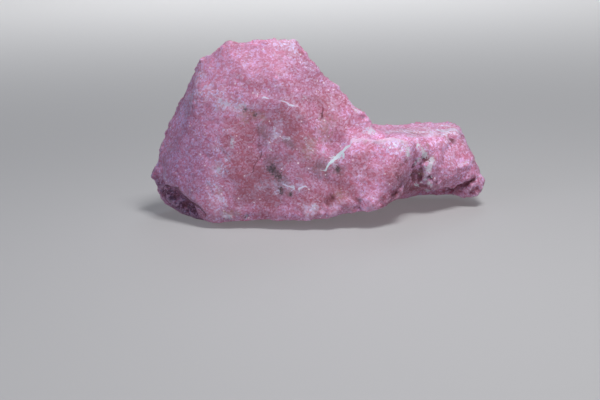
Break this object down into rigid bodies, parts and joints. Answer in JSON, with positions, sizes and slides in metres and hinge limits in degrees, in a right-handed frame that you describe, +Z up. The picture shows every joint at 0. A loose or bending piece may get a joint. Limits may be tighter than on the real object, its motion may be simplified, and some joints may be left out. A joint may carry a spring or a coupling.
{
  "type": "thulite stone",
  "caption": "Rough hand-sized piece of massive pink thulite, with a tall wedge-shaped block, a low arm to one side and a flat base to rest on.",
  "frame": {"origin": "middle of the bounding box in plan, at the flat base", "axes": "+X along the stone's length towards the arm, +Y from the broad front face to the back, +Z up"},
  "size_m": [0.0804, 0.0354, 0.0428],
  "materials": {
    "thulite_rock": "rough, sugary broken surface"
  },
  "bodies": {
    "root": {"thulite_stone": "thulite_rock"}
  },
  "joints": []
}
